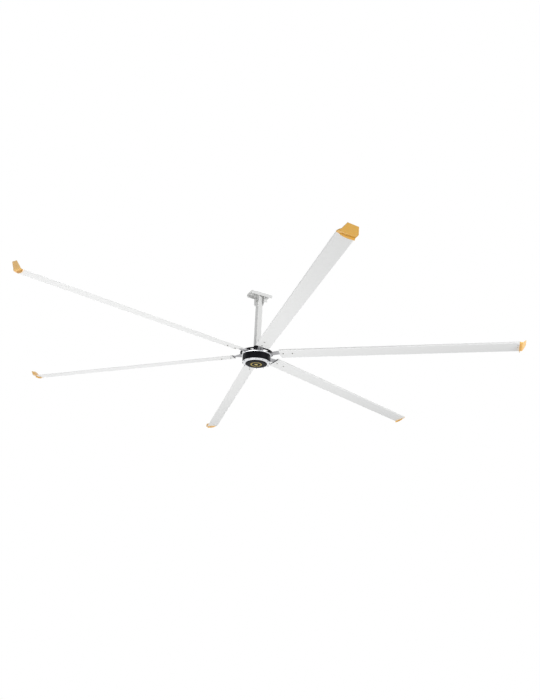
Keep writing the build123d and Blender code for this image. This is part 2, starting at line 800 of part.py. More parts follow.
# Small parts on the shaft: seal, spacer, lock washer and slotted nut
with BuildPart() as shaft_seal:
    with BuildSketch(Plane.XZ):
        with BuildLine():
            Polyline(
                (shaft_diameter / 2 + seal_lip_clearance, bell_top - seal_height),
                (seal_outer_diameter / 2 - slip_fit, bell_top - seal_height),
                (seal_outer_diameter / 2 - slip_fit, bell_top - 1),
                (shaft_diameter / 2 + 6, bell_top - 1),
                (shaft_diameter / 2 + 6, bell_top - seal_height + 3),
                (shaft_diameter / 2 + seal_lip_clearance, bell_top - seal_height + 2),
                close=True,
            )
        make_face()
    revolve(axis=Axis.Z)
save(shaft_seal.part, "shaft_seal")

with BuildPart() as bearing_spacer:
    with BuildSketch(Plane.XY.offset(lower_bearing_top)):
        Circle(lower_shaft_diameter / 2 + 5)
        Circle(lower_shaft_diameter / 2 + slip_fit, mode=Mode.SUBTRACT)
    extrude(amount=stator_hub_bottom - lower_bearing_top)
save(bearing_spacer.part, "bearing_spacer")

with BuildPart() as lock_washer:
    with BuildSketch(Plane.XY.offset(nut_top)):
        Circle(nut_diameter / 2)
        with PolarLocations(nut_diameter / 2, 8):
            Rectangle(5, 5, mode=Mode.SUBTRACT)
        Circle(thread_diameter / 2 + slip_fit, mode=Mode.SUBTRACT)
    extrude(amount=lock_washer_thickness)
save(lock_washer.part, "lock_washer")

with BuildPart() as shaft_nut:
    with BuildSketch(Plane.XY.offset(nut_top - nut_height)):
        Circle(nut_diameter / 2)
        with PolarLocations(nut_diameter / 2, 4, start_angle=45):
            Rectangle(6, 6, mode=Mode.SUBTRACT)
        Circle(thread_diameter / 2 + slip_fit, mode=Mode.SUBTRACT)
    extrude(amount=nut_height)
    chamfer(shaft_nut.faces().sort_by(Axis.Z)[0].outer_wire().edges(), 0.8)
save(shaft_nut.part, "shaft_nut")

# Bottom cap: a shallow black dome with a flat centre that holds a plain amber motif
cap_radius = cone_foot_radius
cap_screw_seat = cone_bottom - cap_rim_thickness
with BuildPart() as bottom_cap:
    with BuildSketch(Plane.XZ):
        with BuildLine():
            top_rim = Line((cap_radius, cone_bottom), (cap_radius, cone_bottom - cap_rim_thickness))
            Spline(
                top_rim @ 1,
                (cap_flat_diameter / 2, cap_bottom),
                tangents=[(-0.8, -0.6), (-1, 0)],
            )
            Line((cap_flat_diameter / 2, cap_bottom), (0, cap_bottom))
            Line((0, cap_bottom), (0, cap_bottom + cap_thickness))
            Line((0, cap_bottom + cap_thickness), (cap_flat_diameter / 2, cap_bottom + cap_thickness))
            Line(
                (cap_flat_diameter / 2, cap_bottom + cap_thickness),
                (cap_radius - cap_seat_width, cone_bottom),
            )
            Line((cap_radius - cap_seat_width, cone_bottom), top_rim @ 0)
        make_face()
    revolve(axis=Axis.Z)
    with Locations(*circle_locations(cone_bottom, cap_screw_circle / 2, cap_screw_count)):
        Cylinder(cap_screw_diameter / 2 + bolt_clearance, 3 * cap_dome_height, mode=Mode.SUBTRACT)
    with Locations(*circle_locations(cap_screw_seat, cap_screw_circle / 2, cap_screw_count)):
        Cylinder(
            cap_screw_diameter + head_clearance,
            cap_dome_height,
            align=(Align.CENTER, Align.CENTER, Align.MAX),
            mode=Mode.SUBTRACT,
        )
    with BuildSketch(Plane.XY.offset(cap_bottom)) as motif_recess:
        Circle(inlay_ring_radius + inlay_ring_width / 2 + 0.1)
        Circle(inlay_ring_radius - inlay_ring_width / 2 - 0.1, mode=Mode.SUBTRACT)
        Circle(inlay_centre_radius + 0.1)
    extrude(amount=inlay_depth, mode=Mode.SUBTRACT)
save(bottom_cap.part, "bottom_cap")

with BuildPart() as cap_inlays:
    with BuildSketch(Plane.XY.offset(cap_bottom - inlay_proud)):
        Circle(inlay_ring_radius + inlay_ring_width / 2)
        Circle(inlay_ring_radius - inlay_ring_width / 2, mode=Mode.SUBTRACT)
        with PolarLocations(inlay_ring_radius, inlay_count):
            Rectangle(3 * inlay_ring_width, inlay_gap, mode=Mode.SUBTRACT)
        Circle(inlay_centre_radius)
    extrude(amount=inlay_depth + inlay_proud)
save(cap_inlays.part, "cap_inlays")

with BuildPart() as cap_screw:
    Cylinder(
        0.95 * cap_screw_diameter,
        0.5 * cap_screw_diameter,
        align=(Align.CENTER, Align.CENTER, Align.MIN),
    )
    fillet(cap_screw.faces().sort_by(Axis.Z)[-1].edges(), 0.2 * cap_screw_diameter)
    Cylinder(
        cap_screw_diameter / 2,
        cap_screw_length,
        align=(Align.CENTER, Align.CENTER, Align.MAX),
    )
cap_screw_places = circle_locations(
    cap_screw_seat, cap_screw_circle / 2, cap_screw_count, face_down=True
)
save(group(cap_screw.part, cap_screw_places), "cap_screws")

# Hub plate: the black spider over the arms' roots, with a window between each two arms
with BuildPart() as hub_plate:
    with BuildSketch(Plane.XY.offset(hub_plate_bottom)):
        Circle(hub_plate_diameter / 2)
        Circle(hub_plate_bore / 2, mode=Mode.SUBTRACT)
    extrude(amount=hub_plate_thickness)
    with BuildSketch(Plane.XY.offset(hub_plate_bottom)) as windows:
        Circle(window_outer_radius)
        Circle(window_inner_radius, mode=Mode.SUBTRACT)
        spoke_width = arm_root_width + 2 * window_margin
        for angle in blade_angles:
            with Locations(Rotation(0, 0, angle) * Pos(hub_plate_diameter / 2, 0, 0)):
                Rectangle(hub_plate_diameter, spoke_width, mode=Mode.SUBTRACT)
        fillet(windows.vertices(), 6)
    extrude(amount=hub_plate_thickness, mode=Mode.SUBTRACT)
    with Locations(*hub_bolt_places(hub_plate_top)):
        Cylinder(
            hub_bolt_diameter / 2 + bolt_clearance,
            hub_plate_thickness,
            align=(Align.CENTER, Align.CENTER, Align.MAX),
            mode=Mode.SUBTRACT,
        )
    rims = hub_plate.edges().filter_by(GeomType.CIRCLE).sort_by(SortBy.RADIUS)[-2:]
    chamfer(rims, 1.5)
save(hub_plate.part, "hub_plate")

hub_grip = hub_plate_thickness + arm_root_thickness
hub_bolt = hex_bolt(hub_bolt_diameter, hub_grip + bell_flange_thickness - hub_bolt_end_gap)
save(group(hub_bolt, hub_bolt_places(hub_plate_top)), "hub_bolts")

# Arm: a flat root on the hub, a twisted waist and a pitched tongue inside the blade
tongue_end = blade_root_radius + tongue_depth
with BuildPart() as arm:
    with BuildSketch(Plane.XY.offset(bell_top)) as root_outline:
        root_length = arm_root_outer_radius - arm_root_inner_radius
        with Locations((arm_root_inner_radius + root_length / 2, 0)):
            Rectangle(root_length, arm_root_width)
        fillet(root_outline.vertices().group_by(Axis.X)[0], arm_root_corner)
    extrude(amount=arm_root_thickness)
    with BuildSketch(Plane.YZ.offset(arm_root_outer_radius)):
        with Locations((0, bell_top + arm_root_thickness / 2)):
            Rectangle(arm_root_width, arm_root_thickness)
    with BuildSketch(section_plane(tongue_start)):
        with Locations((cell_centre, tongue_rise)):
            Rectangle(tongue_width, tongue_thickness)
    loft(ruled=True)
    with BuildSketch(section_plane(tongue_start)):
        with Locations((cell_centre, tongue_rise)):
            Rectangle(tongue_width, tongue_thickness)
    extrude(amount=tongue_end - tongue_start)
    root_bolts = [
        (hub_bolt_first_radius + step * hub_bolt_pitch_along, side * hub_bolt_pitch_across, bell_top)
        for step in (0, 1)
        for side in (-0.5, 0.5)
    ]
    with Locations(*root_bolts):
        Cylinder(
            hub_bolt_diameter / 2 + bolt_clearance, 4 * arm_root_thickness, mode=Mode.SUBTRACT
        )
    with Locations(*[bolt_plane(station, cell_centre, 0) for station in blade_bolt_stations]):
        Cylinder(blade_bolt_diameter / 2 + bolt_clearance, 6 * tongue_thickness, mode=Mode.SUBTRACT)

# Blade: a hollow extrusion with three cells
blade_length = blade_tip_radius - blade_root_radius


def cell_faces(gap):
    """The blade's three inner cells, each drawn in by a gap on every side."""
    with BuildSketch(mode=Mode.PRIVATE) as cells:
        foil(-chord / 2, chord / 2, nose_radius)
        offset(amount=-blade_wall - gap, kind=Kind.INTERSECTION)
        with Locations(*[(position, 0) for position in web_positions]):
            Rectangle(blade_wall + 2 * gap, chord, mode=Mode.SUBTRACT)
    return cells.sketch


hollow_cells = cell_faces(0)
plug_cells = cell_faces(plug_fit)
with BuildPart() as blade:
    with BuildSketch(section_plane(blade_root_radius)):
        foil(-chord / 2, chord / 2, nose_radius)
        add(hollow_cells, mode=Mode.SUBTRACT)
    extrude(amount=blade_length)
    with Locations(*[bolt_plane(station, cell_centre, 0) for station in blade_bolt_stations]):
        Cylinder(blade_bolt_diameter / 2 + bolt_clearance, 4 * nose_radius, mode=Mode.SUBTRACT)
    screw_station = blade_tip_radius - winglet_screw_setback
    screw_planes = [
        bolt_plane(screw_station, place, 0, face_down=True) for place in winglet_screw_chords
    ]
    with Locations(*screw_planes):
        Cylinder(
            winglet_screw_diameter / 2 + bolt_clearance,
            2 * nose_radius,
            align=(Align.CENTER, Align.CENTER, Align.MIN),
            mode=Mode.SUBTRACT,
        )

# Blade bolts go down through blade and tongue, with nuts under the blade
skin_low, skin_high = skin_heights(cell_centre, blade_bolt_diameter)
blade_low = skin_low - washer_clearance
blade_high = skin_high + washer_clearance
blade_bolt = hex_bolt(blade_bolt_diameter, blade_high - blade_low + bolt_reach * blade_bolt_diameter)
blade_nut = hex_nut(blade_bolt_diameter)
bolt_spots = [
    bolt_plane(station, cell_centre, blade_high).location for station in blade_bolt_stations
]
nut_spots = [
    bolt_plane(station, cell_centre, blade_low, face_down=True).location
    for station in blade_bolt_stations
]

# Winglet: the foil bends up into a pointed fin, with a lip below it and plugs into the blade
def winglet_plane(bend, lift):
    """A plane on the bent tip: it turns from square to the blade to nearly level."""
    turn = math.radians(bend)
    out = winglet_reach + winglet_bend_radius * math.sin(turn)
    up = winglet_bend_radius * (1 - math.cos(turn)) + lift
    out += lift * math.tan(math.radians(winglet_lean))
    facing = along * math.cos(turn) + through * math.sin(turn)
    return Plane(origin=blade_point(blade_tip_radius + out, 0, up), x_dir=across, z_dir=facing)


last_bend = winglet_bends[-1]
top_lift = winglet_height - winglet_bend_radius * (1 - math.cos(math.radians(last_bend)))
with BuildPart() as winglet:
    with BuildSketch(section_plane(blade_tip_radius)):
        foil(-chord / 2, chord / 2, nose_radius)
    rows = zip(winglet_bends, winglet_noses, winglet_tails, winglet_nose_radii)
    for bend, nose, tail, radius in rows:
        with BuildSketch(winglet_plane(bend, 0)):
            foil(nose, tail, radius)
    with BuildSketch(winglet_plane(last_bend, top_lift)):
        foil(winglet_top_nose, winglet_top_tail, winglet_top_nose_radius)
    loft(ruled=True)
    with BuildSketch(section_plane(blade_tip_radius)):
        with BuildLine() as lip_outline:
            Polyline((chord / 2, 0), (nose_radius - chord / 2, 0))
            Spline(
                (nose_radius - chord / 2, 0),
                (-chord / 4, -0.7 * lip_depth),
                (chord / 5, -lip_depth),
                (chord / 2, -0.8 * lip_depth),
            )
            Line((chord / 2, -0.8 * lip_depth), (chord / 2, 0))
        make_face(lip_outline.edges())
    extrude(amount=lip_thickness)
    with BuildSketch(section_plane(blade_tip_radius)):
        add(plug_cells)
    extrude(amount=-plug_depth)
    with Locations(*screw_planes):
        Cylinder(
            winglet_screw_diameter / 2 + slip_fit,
            2 * nose_radius,
            align=(Align.CENTER, Align.CENTER, Align.MIN),
            mode=Mode.SUBTRACT,
        )

# Winglet screws come up from under the blade
with BuildPart() as winglet_screw:
    Cylinder(
        0.95 * winglet_screw_diameter,
        0.5 * winglet_screw_diameter,
        align=(Align.CENTER, Align.CENTER, Align.MIN),
    )
    fillet(winglet_screw.faces().sort_by(Axis.Z)[-1].edges(), 0.2 * winglet_screw_diameter)
winglet_screw_spots = []
for place in winglet_screw_chords:
    low, high = skin_heights(place, winglet_screw_diameter)
    winglet_screw_spots.append(bolt_plane(screw_station, place, low, face_down=True).location)

turns = [Rotation(0, 0, angle) for angle in blade_angles]
for number, turn in enumerate(turns, start=1):
    save(arm.part.moved(turn), f"arm_{number}")
    save(blade.part.moved(turn), f"blade_{number}")
    save(winglet.part.moved(turn), f"winglet_{number}")
save(group(blade_bolt, [turn * spot for turn in turns for spot in bolt_spots]), "blade_bolts")
save(group(blade_nut, [turn * spot for turn in turns for spot in nut_spots]), "blade_nuts")
save(
    group(winglet_screw.part, [turn * spot for turn in turns for spot in winglet_screw_spots]),
    "winglet_screws",
)
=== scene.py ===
import json
import math

import bmesh
import bpy
from mathutils import Matrix, Vector


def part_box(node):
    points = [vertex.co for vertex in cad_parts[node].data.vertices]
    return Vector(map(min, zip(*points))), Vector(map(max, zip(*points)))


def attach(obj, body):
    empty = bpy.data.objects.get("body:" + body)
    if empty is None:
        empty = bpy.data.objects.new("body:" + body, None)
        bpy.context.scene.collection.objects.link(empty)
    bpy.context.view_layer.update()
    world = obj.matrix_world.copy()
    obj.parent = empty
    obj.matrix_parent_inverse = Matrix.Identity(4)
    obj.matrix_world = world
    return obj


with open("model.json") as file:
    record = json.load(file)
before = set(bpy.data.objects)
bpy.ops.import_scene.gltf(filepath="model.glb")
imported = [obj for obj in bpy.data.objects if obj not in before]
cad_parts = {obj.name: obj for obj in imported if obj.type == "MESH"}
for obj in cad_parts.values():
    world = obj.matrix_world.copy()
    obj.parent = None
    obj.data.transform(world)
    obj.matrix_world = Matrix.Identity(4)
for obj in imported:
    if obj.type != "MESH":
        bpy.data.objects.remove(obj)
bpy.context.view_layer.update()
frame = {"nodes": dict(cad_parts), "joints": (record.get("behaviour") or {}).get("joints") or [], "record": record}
nodes = frame["nodes"]

# The photograph's frame and its camera. The camera was solved from the six blade tips,
# and its angles are read in plan from the direction it stands in.
photo_height = 700
focal_length_px = 649.2
sensor_size = 36.0
camera_turn = math.radians(26)
camera_distance = 9.486
camera_depth_angle = math.radians(21.911)
aim_azimuth = math.radians(1.25)
aim_elevation = math.radians(22.357)
camera_roll = math.radians(-2.426)
camera_reach = 200.0

# Places on the fan, in metres
hub_level = frame["joints"][0]["pos_m"][2]
channel_wall = 0.005
weld_size = 0.0055
weld_inset = 0.006
weld_ripple_pitch = 0.0045
weld_arc_steps = 6
weld_steps_to_ripple = 4
weld_least_steps = 8
weld_ripple_height = 0.13
weld_unevenness = 0.05
weld_unevenness_rate = 41.0
weld_end_size = 0.35
weld_end_slope = 14
gusset_weld_share = 0.7

# Stage
floor_level = -15.0
floor_half_width = 45.0
floor_squares = 8
floor_fade_radius = 36.0
floor_tone = (0.90, 0.90, 0.895)
floor_shadow_share = 0.25
world_tone = (0.40, 0.405, 0.41)

# Soft lamps, all aimed at the hub: name, place, side in metres, watts
soft_boxes = (
    ("front_key", (4.5, -9.5, -1.5), 4.0, 600),
    ("left_fill", (-8.5, 0.5, -4.5), 4.0, 40),
    ("low_fill", (-2.5, 0.5, -7.4), 6.0, 320),
    ("top_light", (-2.0, 3.0, 7.0), 6.0, 170),
)

# Colours, as linear light
white_coat_tone = (0.80, 0.80, 0.79)
blade_tone = (0.83, 0.83, 0.825)
# Winglet amber: the inner tone is the amber darkened by painted shade, the outer tone is the amber lightened by a
# painted highlight
amber_shaded_inner_tone = (0.60, 0.235, 0.035)
amber_highlit_outer_tone = (0.80, 0.45, 0.085)
inlay_tone = (0.56, 0.42, 0.09)
black_tone = (0.006, 0.006, 0.008)
cap_tone = (0.005, 0.005, 0.006)
bright_aluminium_tone = (0.80, 0.81, 0.83)
cast_aluminium_tone = (0.42, 0.42, 0.43)
zinc_tone = (0.45, 0.45, 0.43)
black_oxide_tone = (0.022, 0.022, 0.024)
ground_steel_tone = (0.50, 0.50, 0.51)
lamination_tone = (0.16, 0.16, 0.18)
copper_tone = (0.50, 0.19, 0.08)
magnet_tone = (0.33, 0.33, 0.35)
rubber_tone = (0.020, 0.020, 0.021)
bare_steel = (0.36, 0.36, 0.36, 1.0)
dust = (0.46, 0.44, 0.40, 1.0)
weld_tone = (0.74, 0.74, 0.73)
amber_scuff_tone = (0.88, 0.66, 0.32)

coat_roughness = 0.12

# The winglets' amber goes from painted shade near the blade to a painted highlight towards the tip between these
# distances from the shaft, in metres
amber_painted_shade_start = 3.46
amber_painted_shade_end = 3.60

# An edge's wear starts, and is full, where its rounded and true normals agree this much
edge_start = 0.99
edge_full = 0.80
edge_samples = 4


# Materials
def scaled(tone, factor):
    return tuple(min(channel * factor, 1.0) for channel in tone) + (1.0,)


class Finish:
    """A Principled material whose detail reads the piece's own coordinates, in metres."""

    def __init__(self, name, metallic=0.0, coat=0.0, specular=0.5):
        self.material = bpy.data.materials.new(name)
        self.material.use_nodes = True
        self.tree = self.material.node_tree
        self.shader = self.tree.nodes["Principled BSDF"]
        self.shader.inputs["Metallic"].default_value = metallic
        self.shader.inputs["Specular IOR Level"].default_value = specular
        self.shader.inputs["Coat Weight"].default_value = coat
        self.shader.inputs["Coat Roughness"].default_value = coat_roughness
        self.place = self.node("ShaderNodeTexCoord").outputs["Object"]

    def node(self, kind, **settings):
        made = self.tree.nodes.new(kind)
        for name, value in settings.items():
            setattr(made, name, value)
        return made

    def link(self, source, target):
        self.tree.links.new(source, target)

    def stretched_place(self, stretch, turn):
        """The piece's coordinates turned about the shaft, then scaled along each axis."""
        turned = self.node("ShaderNodeMapping")
        turned.inputs["Rotation"].default_value = (0, 0, -turn)
        self.link(self.place, turned.inputs["Vector"])
        scaled_place = self.node("ShaderNodeMapping")
        scaled_place.inputs["Scale"].default_value = stretch
        self.link(turned.outputs["Vector"], scaled_place.inputs["Vector"])
        return scaled_place.outputs["Vector"]

    def noise(self, scale, detail=4.0, roughness=0.55, stretch=(1, 1, 1), turn=0.0):
        """Cloudy noise with about scale lumps to a metre."""
        made = self.node("ShaderNodeTexNoise")
        made.inputs["Scale"].default_value = scale
        made.inputs["Detail"].default_value = detail
        made.inputs["Roughness"].default_value = roughness
        self.link(self.stretched_place(stretch, turn), made.inputs["Vector"])
        return made.outputs["Fac"]

    def wave(self, scale, distortion, detail=2.0, **kind):
        """Rings about the shaft, or bands up it."""
        made = self.node("ShaderNodeTexWave", **kind)
        made.inputs["Scale"].default_value = scale
        made.inputs["Distortion"].default_value = distortion
        made.inputs["Detail"].default_value = detail
        self.link(self.place, made.inputs["Vector"])
        return made.outputs["Fac"]

    def remap(self, value, start, end, low, high):
        made = self.node("ShaderNodeMapRange")
        made.inputs["From Min"].default_value = start
        made.inputs["From Max"].default_value = end
        made.inputs["To Min"].default_value = low
        made.inputs["To Max"].default_value = high
        self.link(value, made.inputs["Value"])
        return made.outputs["Result"]

    def times(self, first, second):
        made = self.node("ShaderNodeMath", operation="MULTIPLY")
        self.link(first, made.inputs[0])
        self.link(second, made.inputs[1])
        return made.outputs["Value"]

    def mix(self, share, first, second):
        """A colour between two others. Sockets 6 and 7 take them, and socket 2 gives it."""
        made = self.node("ShaderNodeMix", data_type="RGBA")
        self.link(share, made.inputs["Factor"])
        for value, socket in ((first, made.inputs[6]), (second, made.inputs[7])):
            if isinstance(value, tuple):
                socket.default_value = value
            else:
                self.link(value, socket)
        return made.outputs[2]

    def clouded(self, tone, pattern, spread):
        """The tone, a little darker and lighter by a pattern."""
        return self.mix(pattern, scaled(tone, 1 - spread), scaled(tone, 1 + spread))

    def patched(self, color, pattern, start, end, share, patch):
        """Patches of another colour, up to a share, where a pattern lies above a value."""
        return self.mix(self.remap(pattern, start, end, 0.0, share), color, patch)

    def edges(self, width):
        """1 along the piece's sharp edges, 0 on its faces."""
        rounded = self.node("ShaderNodeBevel", samples=edge_samples)
        rounded.inputs["Radius"].default_value = width
        geometry = self.node("ShaderNodeNewGeometry")
        dot = self.node("ShaderNodeVectorMath", operation="DOT_PRODUCT")
        self.link(rounded.outputs["Normal"], dot.inputs[0])
        self.link(geometry.outputs["Normal"], dot.inputs[1])
        return self.remap(dot.outputs["Value"], edge_start, edge_full, 0.0, 1.0)

    def worn_edges(self, color, width, pattern, start, end, share, patch):
        """Another colour along the edges, broken up by a pattern."""
        chips = self.remap(pattern, start, end, 0.0, share)
        return self.mix(self.times(self.edges(width), chips), color, patch)

    def bump(self, height, strength, distance):
        made = self.node("ShaderNodeBump")
        made.inputs["Strength"].default_value = strength
        made.inputs["Distance"].default_value = distance
        self.link(height, made.inputs["Height"])
        self.link(made.outputs["Normal"], self.shader.inputs["Normal"])

    def finish(self, color, pattern, smoothest, roughest):
        """Colour and a roughness that a pattern varies; returns the material."""
        self.link(color, self.shader.inputs["Base Color"])
        roughness = self.remap(pattern, 0.3, 0.7, smoothest, roughest)
        self.link(roughness, self.shader.inputs["Roughness"])
        return self.material


def coated(name, tone, roughness, spread=0.05, dust_share=0.10, wear=0.5, peel=850.0, **extra):
    """Powder coat or paint: orange peel, faint dust, worn edges."""
    f = Finish(name, **extra)
    color = f.clouded(tone, f.noise(9.0, 5.0), spread)
    color = f.patched(color, f.noise(38.0, 8.0, 0.7), 0.62, 0.80, dust_share, dust)
    color = f.worn_edges(color, 0.0012, f.noise(160.0, 6.0, 0.7), 0.52, 0.60, wear, bare_steel)
    f.bump(f.noise(peel, 2.0), 0.12, 0.0004)
    return f.finish(color, f.noise(60.0, 5.0), roughness - 0.07, roughness + 0.09)


def extruded(name, tone, roughness, turn, spread=0.02):
    """Coated extrusion: fine draw lines along the blade, a little dust on its surface."""
    f = Finish(name, specular=0.45)
    lines = f.noise(1.0, 5.0, 0.6, stretch=(0.9, 170.0, 60.0), turn=turn)
    bands = f.noise(1.0, 3.0, stretch=(0.7, 16.0, 4.0), turn=turn)
    color = f.clouded(tone, lines, spread)
    color = f.patched(color, bands, 0.35, 0.75, 0.06, scaled(tone, 0.82))
    color = f.patched(color, f.noise(26.0, 8.0, 0.72), 0.60, 0.82, 0.04, dust)
    bare_edge = scaled(bright_aluminium_tone, 0.8)
    color = f.worn_edges(color, 0.001, f.noise(120.0, 5.0), 0.5, 0.6, 0.4, bare_edge)
    f.bump(lines, 0.05, 0.0003)
    return f.finish(color, lines, roughness - 0.06, roughness + 0.08)


def moulded_amber(name, shaded_inner, highlit_outer):
    """Glossy coloured plastic, painted darker towards the blade as shade and yellower towards the tip as a
    highlight, with a fine moulded grain.
    """
    f = Finish(name, coat=0.25, specular=0.5)
    f.shader.inputs["Subsurface Weight"].default_value = 0.08
    f.shader.inputs["Subsurface Radius"].default_value = (0.012, 0.005, 0.001)
    flat = f.node("ShaderNodeVectorMath", operation="MULTIPLY")
    flat.inputs[1].default_value = (1, 1, 0)
    f.link(f.place, flat.inputs[0])
    radius = f.node("ShaderNodeVectorMath", operation="LENGTH")
    f.link(flat.outputs["Vector"], radius.inputs[0])
    # Painted light: the amber runs from painted shade near the blade to a painted highlight at the tip, by
    # distance from the shaft
    reach = f.remap(radius.outputs["Value"], amber_painted_shade_start, amber_painted_shade_end, 0.0, 1.0)
    color = f.mix(reach, shaded_inner + (1.0,), highlit_outer + (1.0,))
    color = f.patched(color, f.noise(34.0, 6.0, 0.6), 0.35, 0.75, 0.22, scaled(highlit_outer, 1.12))
    scuff = amber_scuff_tone + (1.0,)
    color = f.worn_edges(color, 0.0016, f.noise(140.0, 6.0), 0.48, 0.62, 0.45, scuff)
    f.bump(f.noise(1400.0, 2.0), 0.10, 0.0002)
    return f.finish(color, f.noise(48.0, 5.0), 0.26, 0.42)


def moulded(name, tone, roughness, spread=0.12, dust_share=0.05, **extra):
    """Moulded plastic or rubber with a fine grain and paler scuffed edges."""
    f = Finish(name, **extra)
    color = f.clouded(tone, f.noise(22.0, 6.0), spread)
    color = f.patched(color, f.noise(60.0, 8.0, 0.75), 0.60, 0.80, dust_share, dust)
    scuff = scaled(tone, 6.0)
    color = f.worn_edges(color, 0.0012, f.noise(150.0, 5.0), 0.5, 0.62, 0.5, scuff)
    f.bump(f.noise(1600.0, 2.0), 0.08, 0.0002)
    return f.finish(color, f.noise(70.0, 5.0), roughness - 0.05, roughness + 0.10)


def turned_metal(name, tone, roughness, ring_scale=190.0, spread=0.06):
    """Metal turned on a lathe: fine rings about the shaft, slight smears, brighter edges."""
    f = Finish(name, metallic=1.0)
    rings = f.wave(ring_scale, 0.6, detail=3.0, wave_type="RINGS", rings_direction="Z")
    color = f.clouded(tone, rings, spread)
    color = f.patched(color, f.noise(14.0, 6.0, 0.65), 0.45, 0.75, 0.25, scaled(tone, 0.78))
    color = f.patched(color, f.edges(0.001), 0.0, 1.0, 0.5, scaled(tone, 1.25))
    f.bump(rings, 0.08, 0.0003)
    return f.finish(color, f.noise(40.0, 6.0), roughness - 0.06, roughness + 0.12)


def grained_metal(name, tone, roughness, grain=420.0, depth=0.25, spread=0.10, metallic=1.0):
    """Cast, plated or blasted metal: an even grain, stains in patches, rubbed edges."""
    f = Finish(name, metallic=metallic)
    color = f.clouded(tone, f.noise(30.0, 6.0), spread)
    color = f.patched(color, f.noise(75.0, 8.0, 0.75), 0.55, 0.78, 0.35, scaled(tone, 0.6))
    color = f.patched(color, f.edges(0.0008), 0.0, 1.0, 0.45, scaled(tone, 1.4))
    f.bump(f.noise(grain, 4.0, 0.65), depth, 0.0004)
    return f.finish(color, f.noise(110.0, 6.0), roughness - 0.08, roughness + 0.14)


def layered(name, tone, roughness, layer_scale, metallic, spread=0.25):
    """Stacked sheets or wound wire: thin bands up the piece."""
    f = Finish(name, metallic=metallic)
    layers = f.wave(layer_scale, 0.4, wave_type="BANDS", bands_direction="Z")
    color = f.clouded(tone, layers, spread)
    color = f.patched(color, f.noise(50.0, 6.0), 0.5, 0.75, 0.3, scaled(tone, 0.5))
    f.bump(layers, 0.4, 0.0004)
    return f.finish(color, f.noise(80.0, 5.0), roughness - 0.06, roughness + 0.12)


finishes = {
    "white_powder_coat": coated("white_powder_coat", white_coat_tone, 0.42, spread=0.03),
    "amber_plastic": moulded_amber("amber_plastic", amber_shaded_inner_tone, amber_highlit_outer_tone),
    "amber_inlay": moulded("amber_inlay", inlay_tone, 0.40),
    "black_paint": coated(
        "black_paint", black_tone, 0.34, spread=0.15, dust_share=0.012, wear=0.2, specular=0.07
    ),
    "black_plastic": moulded("black_plastic", cap_tone, 0.34, dust_share=0.006, specular=0.04),
    "bright_aluminium": turned_metal("bright_aluminium", bright_aluminium_tone, 0.26),
    "cast_aluminium": grained_metal("cast_aluminium", cast_aluminium_tone, 0.46),
    "zinc_steel": grained_metal("zinc_steel", zinc_tone, 0.34, grain=600.0, depth=0.12),
    "black_oxide_steel": grained_metal("black_oxide_steel", black_oxide_tone, 0.42, metallic=0.6),
    "ground_steel": turned_metal("ground_steel", ground_steel_tone, 0.22, ring_scale=320.0),
    "lamination_steel": layered("lamination_steel", lamination_tone, 0.45, 320.0, 0.8),
    "enamelled_copper": layered("enamelled_copper", copper_tone, 0.28, 150.0, 0.7),
    "magnet": grained_metal("magnet", magnet_tone, 0.30, grain=900.0, depth=0.08),
    "seal_rubber": moulded("seal_rubber", rubber_tone, 0.62),
}


def middle(node):
    """The mean place of a node's mesh."""
    points = [vertex.co for vertex in nodes[node].data.vertices]
    return sum(points, Vector()) / len(points)


def dress(piece, material):
    piece.data.materials.clear()
    piece.data.materials.append(material)


for part in frame["record"]["subparts"]:
    name = part["node"]
    if part["material_slot"] == "white_blade":
        centre = middle(name)
        blade_turn = math.atan2(centre.y, centre.x)
        dress(nodes[name], extruded("coated_" + name, blade_tone, 0.40, blade_turn))
    else:
        dress(nodes[name], finishes[part["material_slot"]])


# Weld beads on the ceiling bracket
def weld_bead(mesh, start, end, first_side, second_side, size=weld_size):
    """A rippled quarter-round bead from start to end, in the corner of two faces."""
    length = (end - start).length
    along = (end - start) / length
    first_side = Vector(first_side)
    second_side = Vector(second_side)
    ripples = length / weld_ripple_pitch
    steps = max(weld_least_steps, round(weld_steps_to_ripple * ripples))
    loops = []
    for step in range(steps + 1):
        travel = step / steps
        ripple = 1 + weld_ripple_height * math.sin(2 * math.pi * travel * ripples)
        drift = weld_unevenness_rate * travel * length / weld_size
        ripple += weld_unevenness * math.sin(drift)
        taper = min(1.0, weld_end_size + weld_end_slope * min(travel, 1 - travel))
        radius = size * ripple * taper
        corner = start + along * (travel * length)
        loop = [mesh.verts.new(corner)]
        for arc_step in range(weld_arc_steps + 1):
            angle = math.pi / 2 * arc_step / weld_arc_steps
            offset = first_side * math.cos(angle) + second_side * math.sin(angle)
            loop.append(mesh.verts.new(corner + offset * radius))
        loops.append(loop)
    for before, after in zip(loops, loops[1:]):
        for place in range(len(before)):
            following = (place + 1) % len(before)
            mesh.faces.new((before[place], before[following], after[following], after[place]))
    mesh.faces.new(loops[0][::-1])
    mesh.faces.new(loops[-1])


def finished_piece(name, mesh, material, body):
    bmesh.ops.recalc_face_normals(mesh, faces=mesh.faces)
    data = bpy.data.meshes.new(name)
    mesh.to_mesh(data)
    mesh.free()
    for polygon in data.polygons:
        polygon.use_smooth = True
    data.materials.append(material)
    piece = bpy.data.objects.new(name, data)
    bpy.context.scene.collection.objects.link(piece)
    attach(piece, body)


weld_finish = coated("painted_weld", weld_tone, 0.46, spread=0.10, peel=420.0)
cheek_low, cheek_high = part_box("cheek_plates")
gusset_low, gusset_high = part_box("gusset_plates")
channel_ceiling = -channel_wall
cheek_reach = cheek_high.y - weld_inset
gusset_half = gusset_high.y

cheek_welds = bmesh.new()
for side, face in ((-1, cheek_low.x), (1, cheek_high.x)):
    for half in (-1, 1):
        weld_bead(
            cheek_welds,
            Vector((face, half * (gusset_half + 2 * weld_size), channel_ceiling)),
            Vector((face, half * cheek_reach, channel_ceiling)),
            (side, 0, 0),
            (0, 0, -1),
        )
finished_piece("cheek_welds", cheek_welds, weld_finish, "mount")

